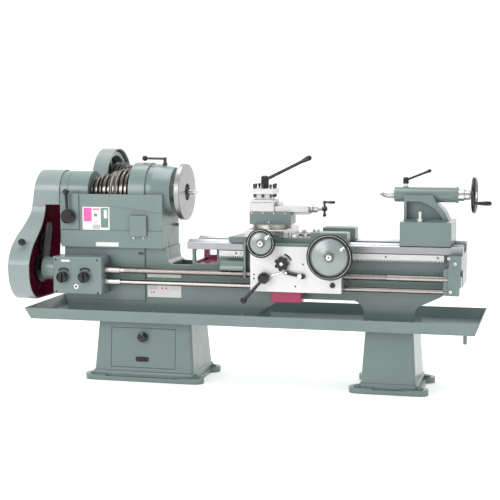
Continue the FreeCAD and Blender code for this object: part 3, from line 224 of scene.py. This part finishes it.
def rubber(name, colour):
    """Belt rubber: scuffed, with fine lines along the belt."""
    s = Surface(name)
    worn = s.remap(s.noise(60, 5, 0.65), 0.35, 0.7)
    band = s.remap(s.noise(1.0, 3, 0.5, s.stretched((900, 12, 12))), 0.35, 0.65)
    base = s.mix(worn, colour, scaled(colour, 1.8))
    base = s.mix(s.math("MULTIPLY", band, 0.35), base, scaled(colour, 0.55))
    # painted shade: darker in corners and where parts meet
    base = s.mix(s.math("MULTIPLY", s.occlusion_shade(0.02), 0.5), base, (0.01, 0.01, 0.01))
    s.link("Base Color", base)
    s.link("Roughness", s.remap(worn, 0.0, 1.0, 0.55, 0.8))
    s.bump(s.math("ADD", band, s.noise(300, 2)), 0.4, 0.0005)
    return s.mat


def print_ink(name, colour, rough=0.28):
    """Screen-printed ink on a metal plate."""
    s = Surface(name)
    wear = s.remap(s.noise(90, 4, 0.6), 0.45, 0.75)
    base = s.mix(s.math("MULTIPLY", wear, 0.14), colour, (0.75, 0.75, 0.73))
    # painted shade: ink darkened in corners and recesses
    base = s.mix(s.math("MULTIPLY", s.occlusion_shade(0.006), 0.3), base, scaled(colour, 0.4))
    s.link("Base Color", base)
    s.link("Roughness", s.remap(wear, 0.0, 1.0, rough, rough + 0.15))
    s.bump(s.noise(240, 2), 0.10, 0.0002)
    return s.mat


GREEN = (0.160, 0.220, 0.209)
SHEET = (0.235, 0.290, 0.281)
green = enamel("enamel_green", GREEN)
sheet_green = enamel("enamel_sheet_metal", SHEET, soil_and_shade_weight=0.35)
# a darker copy of the green, as painted shade for faces that lie in shadow
green_painted_shade = enamel("enamel_green_shaded", scaled(GREEN, 0.80), soil_and_shade_weight=0.6)
crimson = enamel("enamel_crimson", (0.31, 0.012, 0.068), rough=0.22)
ground = metal("ground_steel", (0.60, 0.59, 0.57), 0.24, grain=(6, 240, 240))
# shaft steel with an oil tint, and painted shade on faces that point up or down
oiled_shaded_shaft = metal("oiled_shaded_shaft", (0.52, 0.475, 0.44), 0.22, grain=(240, 8, 8), tarnish_and_shade=0.3, updown_face_shade=0.92)
way_steel = metal("ground_way", (0.41, 0.415, 0.43), 0.30, grain=(5, 200, 200), streak=0.35, tarnish_and_shade=0.35)
polished = metal("polished_steel", (0.80, 0.80, 0.79), 0.10, grain=(300, 10, 10), streak=0.06, tarnish_and_shade=0.12)
milled = metal("milled_plate", (0.75, 0.745, 0.74), 0.34, grain=(14, 14, 210), streak=0.10, tarnish_and_shade=0.10,
               metallic=0.35)
blackened = metal("blackened_steel", (0.075, 0.070, 0.066), 0.28, tarnish_and_shade=0.1)
iron = metal("machined_iron", (0.36, 0.36, 0.355), 0.30, pits=1.0)
raw_iron = metal("cast_iron_oiled", (0.10, 0.098, 0.095), 0.36, pits=2.0)
black = plastic("black_phenolic", (0.006, 0.006, 0.007))
belt_rubber = rubber("belt_rubber", (0.20, 0.17, 0.15))
polished_dark = metal("polished_dark", (0.22, 0.21, 0.20), 0.16, grain=(300, 20, 20), tarnish_and_shade=0.1)
plate_white = print_ink("plate_white", (0.76, 0.775, 0.75))
SPINDLE = at(-140, 0, 1016)
plate_face = turned_face("faceplate_turned", (0.40, 0.405, 0.405), SPINDLE)
silver = metal("ground_silver", (0.70, 0.70, 0.695), 0.28, grain=(8, 8, 160), streak=0.16, tarnish_and_shade=0.30,
               metallic=0.60)
pink_ink = print_ink("pink_ink", (0.72, 0.10, 0.36))
pale_pink_ink = print_ink("pale_pink_ink", (0.85, 0.60, 0.68))
green_ink = print_ink("green_ink", (0.13, 0.24, 0.19))
black_ink_and_shade = print_ink("black_ink_and_shade", (0.02, 0.02, 0.02))

SLOT_LOOK = {
    "enamel": green, "crimson": crimson, "steel": ground, "black": black, "dark_steel": blackened,
    "iron": iron, "bright_plate": milled, "plate": plate_white, "rubber": belt_rubber, "chrome": polished,
}
slot_of = {}
for part in frame["record"]["subparts"]:
    slot_of[part["node"]] = part["material_slot"]


def datum(co):
    """A frame point back in the drawing datum, in millimetres."""
    return Vector((co.x * 1000 + 223, co.y * 1000 + 60, co.z * 1000))


def paint(name, base, *rules):
    """Gives a CAD node its materials: each rule is (material, test of a face's centre and normal)."""
    mesh = nodes[name].data
    mesh.materials.clear()
    mesh.materials.append(base)
    for look, _ in rules:
        mesh.materials.append(look)
    for face in mesh.polygons:
        centre = datum(face.center)
        face.material_index = 0
        for index, (_, test) in enumerate(rules):
            if test(centre, face.normal):
                face.material_index = index + 1


for name in nodes:
    paint(name, SLOT_LOOK[slot_of[name]])

# ---- painted and bare faces of the CAD nodes ----------------------------------

def inside_of(outline):
    """A test of whether a (y, z) point is inside a closed outline."""
    def test(y, z):
        hit = False
        for (y1, z1), (y2, z2) in zip(outline, outline[1:] + outline[:1]):
            if (z1 > z) != (z2 > z) and y < (y2 - y1) * (z - z1) / (z2 - z1) + y1:
                hit = not hit
        return hit
    return test


in_guard = inside_of([(114, 1016), (82, 1098), (0, 1130), (-82, 1098), (-115, 1016), (-117, 934), (-137, 878),
                      (-184, 822), (-290, 745), (-337, 694), (-359, 640), (-359, 575), (-330, 500),
                      (-262, 446), (-20, 442), (38, 500), (58, 700), (108, 860)])


def guard_inside(c, n):
    spot = c + n * 15
    edge = -918 if c.z < 946 else -841
    if c.x < -1039 or c.z < 421:
        return False
    return -1036 < spot.x < edge and in_guard(spot.y, spot.z)


def bed_inside(c, n):
    return 95 < abs(c.y) < 97 and c.z < 721.9 and abs(n.y) > 0.5


def bridge_inside(c, n):
    return abs(c.y) < 97 and c.z < 721.9 and -77 < c.x < 69


def on_way(c, n):
    return c.z > 722.1 or (c.z > 721.8 and abs(c.y) > 118.2)


def off(c, axis, centre):
    """How far a face's centre is from a shaft's line."""
    a, b = {"X": (c.y, c.z), "Y": (c.x, c.z), "Z": (c.x, c.y)}[axis]
    return math.hypot(a - centre[0], b - centre[1])


def near(axis, centre, reach, low=-9999, high=9999):
    """A test for faces within reach of a line and between two stations along it."""
    index = "XYZ".index(axis)
    return lambda c, n: off(c, axis, centre) < reach and low < c[index] < high


# the bed's inner long walls take the painted-shade copy of the green
paint("bed", green, (green_painted_shade, bed_inside), (way_steel, lambda c, n: c.x > 70 and on_way(c, n)))
paint("gap_bridge", green, (crimson, bridge_inside), (way_steel, on_way))
paint("gear_guard", sheet_green, (crimson, guard_inside),
      (black, near("Y", (-968, 759), 21, high=-308)), (polished, near("Y", (-968, 759), 7.5, low=-309)))


def proud_of_door(c):
    return c.y < -178 + (c.z - 50) * 28 / 281 - 1.2


paint("pedestal_door", green, (black, lambda c, n: off(c, "Y", (-347, 239)) < 28 and proud_of_door(c)),
      (black, lambda c, n: 104 < c.z < 134 and -391 < c.x < -313 and proud_of_door(c)))


def wheel_paint(name, spot, middle, reach):
    """Black rim, enamelled web, bright hub cap and crank handle."""
    paint(name, sheet_green, (polished, lambda c, n: off(c, "Y", spot) > 30 and c.y < middle - 4.5),
          (polished, lambda c, n: off(c, "Y", spot) < 16 and c.y < middle - 10),
          (black, lambda c, n: off(c, "Y", spot) > reach - 20 and abs(n.y) < 0.999 and c.y > middle - 10))


wheel_paint("carriage_handwheel", (708, 718), -330, 118)
wheel_paint("cross_feed_handwheel", (354, 781), -330, 76)
paint("tailstock_handwheel", green, (polished, lambda c, n: c.x < 1389 or c.x > 1406.5),
      (polished, near("X", (0, 1016), 19)),
      (black, lambda c, n: off(c, "X", (0, 1016)) > 75.5 and abs(n.x) < 0.999),
      (black, near("X", (-66, 979), 13, 1406)))
paint("headstock", green, (polished, near("X", (57, 832), 8.5, -208, -206)))
paint("belt_guard", sheet_green)
paint("spindle", polished, (raw_iron, lambda c, n: c.x < -390))
paint("cone_pulley", raw_iron, (polished_dark, lambda c, n: abs(n.x) < 0.3 and off(c, "X", (0, 1016)) > 78))
paint("faceplate", plate_face, (iron, near("X", (0, 1016), 47)),
      (iron, lambda c, n: off(c, "X", (0, 1016)) > 148 and abs(n.x) < 0.9))
paint("live_centre", polished)
paint("countershaft", iron, (green, lambda c, n: c.x < -669 and 40 < off(c, "X", (320, 1038)) < 164),
      (raw_iron, lambda c, n: c.x > -668))
paint("motor", green)
# faces at the saddle's left end that do not face up take the painted-shade copy of the green
paint("saddle", green, (green_painted_shade, lambda c, n: c.x < 228 and n.z < 0.9),
      (iron, lambda c, n: n.z > 0.9 and c.z < 810))
paint("feed_gearbox", green, (raw_iron, lambda c, n: c.x < -899.5))
paint("cross_slide", ground)
paint("compound_base", green, (polished, lambda c, n: c.y < -60.1 and c.z > 858),
      (ground, lambda c, n: c.z < 854.5 and off(c, "Z", (337, 0)) > 90))
paint("top_slide", silver)
paint("tool_post", silver)
paint("feed_rack", silver)
paint("feed_rod", oiled_shaded_shaft, (ground, lambda c, n: c.x < -461))
paint("quill", silver)
paint("clamp_screws", blackened)
paint("tool_post_lever", black)
paint("compound_crank", blackened, (polished, lambda c, n: c.x < 610))
paint("quill_lock_lever", black, (polished, near("Z", (1045, 0), 16, 1030, 1073)))
paint("back_gear_lever", blackened, (black, lambda c, n: c.x < -362))
paint("feed_reverse_lever", black)
paint("half_nut_lever", black)
paint("star_knob", black, (polished, near("Y", (452, 673), 9.5, high=-291.8)))
paint("feed_selector", black, (polished, near("Y", (548, 613), 12, high=-289.8)),
      (polished, near("Y", (474, 627), 7.5, high=-286.2)))
paint("gearbox_fittings", black, (plate_white, near("Y", (-695, 516), 14.5)),
      (black, near("Y", (-695, 516), 6.5)))
paint("fasteners", polished, (black, lambda c, n: -380 < c.x < -350 and c.z > 680 and c.z < 700))
paint("apron_fittings", black, (polished, lambda c, n: 380 < c.x < 456 and 600 < c.z < 635))
paint("tailstock", green, (ground, lambda c, n: c.z < 770 and abs(n.z) > 0.3))
paint("tailstock_clamp", polished)
paint("end_bracket", green)


# ---- finer pieces ---------------------------------------------------------------

def piece(name, bm, look, body, smooth=False):
    """Puts a finished mesh in the scene as part of a moving body."""
    bmesh.ops.recalc_face_normals(bm, faces=bm.faces)
    mesh = bpy.data.meshes.new(name)
    bm.to_mesh(mesh)
    bm.free()
    for face in mesh.polygons:
        face.use_smooth = smooth
    made = bpy.data.objects.new(name, mesh)
    bpy.context.scene.collection.objects.link(made)
    mesh.materials.append(look)
    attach(made, body)
    return made


def slab(bm, x, y, z):
    """Adds a thin block between two corners given in the drawing datum."""
    made = bmesh.ops.create_cube(bm, size=1.0)["verts"]
    low, high = at(x[0], y[0], z[0]), at(x[1], y[1], z[1])
    for vert in made:
        for k in range(3):
            vert.co[k] = low[k] if vert.co[k] < 0 else high[k]


AROUND = {"X": (1, 2), "Y": (0, 2), "Z": (0, 1)}


def spot_at(axis, station, centre, radius, angle):
    """A point on a circle round a shaft line."""
    spot = [0.0, 0.0, 0.0]
    first, second = AROUND[axis]
    spot["XYZ".index(axis)] = station
    spot[first] = centre[0] + radius * math.cos(angle)
    spot[second] = centre[1] + radius * math.sin(angle)
    return at(*spot)


def spun(bm, axis, centre, steps, count=48):
    """Adds a closed turned shape from (station, radius) steps."""
    rings = []
    for station, radius in steps:
        rings.append([bm.verts.new(spot_at(axis, station, centre, radius, math.tau * k / count))
                      for k in range(count)])
    for one, two in zip(rings, rings[1:]):
        for k in range(count):
            bm.faces.new((one[k], one[(k + 1) % count], two[(k + 1) % count], two[k]))
    bm.faces.new(rings[0])
    bm.faces.new(rings[-1])


def thread(bm, axis, centre, low, high, root, crest, pitch, count=16):
    """Adds a closed helical ridge round a shaft line."""
    sections = []
    for index in range(int((high - low) / pitch * count) + 1):
        station = low + pitch * index / count
        angle = math.tau * index / count
        shape = ((-0.40, root), (-0.18, crest), (0.18, crest), (0.40, root))
        sections.append([bm.verts.new(spot_at(axis, station + share * pitch, centre, radius, angle))
                         for share, radius in shape])
    for one, two in zip(sections, sections[1:]):
        for k in range(4):
            bm.faces.new((one[k], one[(k + 1) % 4], two[(k + 1) % 4], two[k]))
    bm.faces.new(sections[0])
    bm.faces.new(sections[-1])


def prism(bm, axis, low, high, centre, radius, sides):
    """Adds a regular prism along an axis."""
    spun(bm, axis, centre, [(low, radius), (high, radius)], sides)


# the leadscrew: plain shank and collars, then its square-cut thread, then a plain end
screw_line = (-185, 604)
bm = bmesh.new()
spun(bm, "X", screw_line, [(-585, 14), (-547.5, 14), (-547.5, 26), (-532, 26), (-532, 21), (-462, 21),
                           (-462, 17), (-436, 17), (-434, 15.2), (978, 15.2), (980, 17), (1261.5, 17),
                           (1261.5, 14), (1325, 14)])
thread(bm, "X", screw_line, -433, 977, 14.9, 17, 6)
screw = piece("leadscrew_thread", bm, oiled_shaded_shaft, "lead")
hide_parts("leadscrew")

# printed colour fields of the speed chart and the feed chart, with no lettering: each plate is its
# span in x and in z, and the station of its printed face
CHART = ((-686, -530), (815, 940))
CHART_FACE = -161.2
FEEDS = ((-334, -143), (453, 581))
FEEDS_FACE = -119.2
STRIP = ((-609, -478), (728, 750))
STRIP_FACE = -167.2


def chart_field(bm, plate, face, u, v, height=0.25):
    """A field of ink on a plate: u runs from the left, v from the top, both as shares of the plate."""
    (x0, x1), (z0, z1) = plate
    slab(bm, (x0 + (x1 - x0) * u[0], x0 + (x1 - x0) * u[1]), (face - height, face),
         (z1 - (z1 - z0) * v[1], z1 - (z1 - z0) * v[0]))


bm = bmesh.new()
chart_field(bm, CHART, CHART_FACE, (0.045, 0.34), (0.04, 0.63))
chart_field(bm, CHART, CHART_FACE, (0.385, 0.635), (0.07, 0.13))
for u, v in ((0.12, 0.80), (0.20, 0.80), (0.44, 0.62), (0.56, 0.62)):
    spun(bm, "Y", (-334 + 191 * u, 581 - 128 * v), [(FEEDS_FACE - 0.3, 5.5), (FEEDS_FACE, 5.5)], 20)
piece("chart_pink", bm, pink_ink, "machine")
bm = bmesh.new()
chart_field(bm, CHART, CHART_FACE, (0.68, 0.955), (0.04, 0.89))
chart_field(bm, CHART, CHART_FACE, (0.43, 0.545), (0.29, 0.41))
chart_field(bm, FEEDS, FEEDS_FACE, (0.0, 1.0), (0.16, 0.40))
piece("chart_green", bm, green_ink, "machine")
bm = bmesh.new()
chart_field(bm, CHART, CHART_FACE, (0.795, 0.91), (0.12, 0.49), 0.5)
piece("chart_white", bm, plate_white, "machine")
bm = bmesh.new()
chart_field(bm, CHART, CHART_FACE, (0.41, 0.57), (0.58, 0.72))
for row in range(4):
    chart_field(bm, FEEDS, FEEDS_FACE, (0.36, 0.62), (0.72 + 0.055 * row, 0.735 + 0.055 * row))
    chart_field(bm, FEEDS, FEEDS_FACE, (0.74, 0.93), (0.50 + 0.055 * row, 0.515 + 0.055 * row))
piece("chart_pale_pink", bm, pale_pink_ink, "machine")
bm = bmesh.new()
for row in range(7):
    chart_field(bm, CHART, CHART_FACE, (0.385, 0.635), (0.775 + 0.028 * row, 0.783 + 0.028 * row), 0.2)
for column in range(5):
    chart_field(bm, CHART, CHART_FACE, (0.385 + 0.06 * column, 0.390 + 0.06 * column), (0.775, 0.95), 0.2)
for row in range(6):
    chart_field(bm, FEEDS, FEEDS_FACE, (0.05, 0.30), (0.46 + 0.04 * row, 0.467 + 0.04 * row), 0.2)
piece("chart_rules", bm, black_ink_and_shade, "machine")

# rivets at the plates' corners
bm = bmesh.new()
for (xs, zs), face in ((CHART, CHART_FACE), (FEEDS, FEEDS_FACE), (STRIP, STRIP_FACE)):
    inset = 5
    for x in (xs[0] + inset, xs[1] - inset):
        for z in (zs[0] + inset, zs[1] - inset):
            spun(bm, "Y", (x, z), [(face - 1.4, 0.9), (face - 1.1, 1.7), (face - 0.5, 2.2), (face, 2.4)], 14)
piece("plate_rivets", bm, polished, "machine", smooth=True)


def graduations(name, axis, centre, radius, edge, reach, count, body, look):
    """Engraved and inked division lines round a dial, every fifth one longer."""
    bm = bmesh.new()
    for index in range(count):
        angle = math.tau * index / count
        long = reach if index % 5 == 0 else reach * 0.6
        half = 0.35 / radius
        corners = []
        for station in (edge, edge + math.copysign(abs(long), reach)):
            for turn in (-half, half):
                for out in (radius - 0.2, radius + 0.12):
                    corners.append(bm.verts.new(spot_at(axis, station, centre, out, angle + turn)))
        a, b, c, d, e, f, g, h = corners
        for loop in ((a, b, d, c), (e, f, h, g), (a, b, f, e), (c, d, h, g), (a, c, g, e), (b, d, h, f)):
            bm.faces.new(loop)
    piece(name, bm, look, body)


graduations("cross_dial_marks", "Y", (354, 781), 25.0, -243, 8, 50, "cross_wheel", black_ink_and_shade)
graduations("tail_dial_marks", "X", (0, 1016), 27.0, 1347, 10, 50, "tail_wheel", black_ink_and_shade)
graduations("crank_dial_marks", "X", (0, 936), 22.0, 563.5, 8, 40, "crank", black_ink_and_shade)
graduations("swivel_marks", "Z", (337, 0), 108.0, 853.8, -6, 180, "compound", black_ink_and_shade)
graduations("quill_marks", "X", (0, 1016), 21.0, 952, 3, 4, "quill_set", black_ink_and_shade)

# the dished cover discs on the webs of the two carriage wheels, and the dark centre in each hub
for name, spot, reach, body in (("apron_wheel_dish", (708, 718), 107, "carriage_wheel"),
                                ("cross_wheel_dish", (354, 781), 65, "cross_wheel")):
    bm = bmesh.new()
    spun(bm, "Y", spot, [(-334.3, reach), (-335.0, reach * 0.8), (-335.0, reach * 0.4), (-334.5, 20),
                         (-333.8, 20), (-333.8, reach)], 72)
    look = turned_face(name + "_look", (0.32, 0.37, 0.36), at(spot[0], 0, spot[1]), 0.20, "Y", 0.30)
    piece(name, bm, look, body, smooth=True)
    bm = bmesh.new()
    spun(bm, "Y", spot, [(-352.6, 4.5), (-351.8, 5.0)], 24)
    piece(name.replace("dish", "centre"), bm, black_ink_and_shade, body)

# sockets in the cap screws that face the operator, as black hexagons: painted shade in place of the recesses
bm = bmesh.new()
for x, z, face in ((-372, 690, -133), (-357, 690, -133), (1290, 712, -214), (1322, 686, -214),
                   (1300, 544, -214), (-392, 776, -171), (-336, 776, -171), (196, 705, -144)):
    prism(bm, "Y", face - 0.25, face + 0.1, (x, z), 2.9, 6)
piece("screw_sockets", bm, black_ink_and_shade, "machine")
# gib screw sockets as black hexagons: painted shade in place of the recesses
bm = bmesh.new()
for x in (237, 297, 357, 417):
    prism(bm, "Y", -63.75, -63.4, (x, 911), 2.3, 6)
prism(bm, "Y", -63.75, -63.4, (330, 864), 2.6, 6)
piece("gib_sockets", bm, black_ink_and_shade, "compound")

# ---- stage, light and camera ---------------------------------------------------

bm = bmesh.new()
bmesh.ops.create_grid(bm, x_segments=1, y_segments=1, size=30)
mesh = bpy.data.meshes.new("studio_floor")
bm.to_mesh(mesh)
bm.free()
floor = bpy.data.objects.new("studio_floor", mesh)
bpy.context.scene.collection.objects.link(floor)
floor_look = Surface("floor_paper")
floor_look.link("Base Color", floor_look.mix(floor_look.noise(3), (0.80, 0.80, 0.80), (0.84, 0.84, 0.84)))
floor_look.link("Roughness", 0.85)
floor_look.link("Specular IOR Level", 0.1)
floor_look.link("Emission Color", (1.0, 1.0, 1.0, 1.0))
floor_look.link("Emission Strength", 0.46)
floor.data.materials.append(floor_look.mat)


def softbox(name, spot, aim, size, power):
    light = bpy.data.lights.new(name, "AREA")
    light.shape = "RECTANGLE"
    light.size, light.size_y = size
    light.energy = power
    lamp = bpy.data.objects.new(name, light)
    bpy.context.scene.collection.objects.link(lamp)
    lamp.location = spot
    lamp.rotation_euler = (Vector(aim) - Vector(spot)).to_track_quat("-Z", "Y").to_euler()
    return lamp


softbox("key", (-2.4, -4.4, 2.4), (0, 0, 0.7), (2.6, 2.0), 84)
softbox("fill", (3.6, -3.4, 2.0), (0.2, 0, 0.7), (2.0, 2.0), 14)
softbox("top", (-0.4, -0.2, 3.8), (0, 0, 0.6), (4.0, 1.6), 70)
softbox("rear", (1.5, 4.0, 2.6), (0, 0, 0.8), (3.0, 1.6), 30)

world = bpy.data.worlds.new("studio")
bpy.context.scene.world = world
world.use_nodes = True
tree = world.node_tree
way = tree.nodes.new("ShaderNodeSeparateXYZ")
tree.links.new(tree.nodes.new("ShaderNodeTexCoord").outputs["Generated"], way.inputs[0])
shade = tree.nodes.new("ShaderNodeMapRange")
shade.inputs["From Min"].default_value = -0.5
shade.inputs["From Max"].default_value = 0.25
shade.inputs["To Min"].default_value = 0.56
shade.inputs["To Max"].default_value = 1.02
tree.links.new(way.outputs["Y"], shade.inputs["Value"])
tree.links.new(shade.outputs[0], tree.nodes["Background"].inputs["Color"])
tree.nodes["Background"].inputs["Strength"].default_value = 1.0
bpy.context.scene.view_settings.view_transform = "Standard"

camera = bpy.data.cameras.new("camera")
camera.lens = 87.21
camera.sensor_width = 36
camera.clip_end = 100
viewer = bpy.data.objects.new("camera", camera)
bpy.context.scene.collection.objects.link(viewer)
viewer.location = (1.65088, -6.31129, 1.43068)
viewer.rotation_mode = "QUATERNION"
yaw, pitch, roll = (math.radians(a) for a in (14.91, 6.38, -0.33))
aim = Matrix.Rotation(yaw, 4, "Z") @ Matrix.Rotation(math.pi / 2 - pitch, 4, "X")
viewer.rotation_quaternion = (aim @ Matrix.Rotation(roll, 4, "Z")).to_quaternion()
bpy.context.scene.camera = viewer
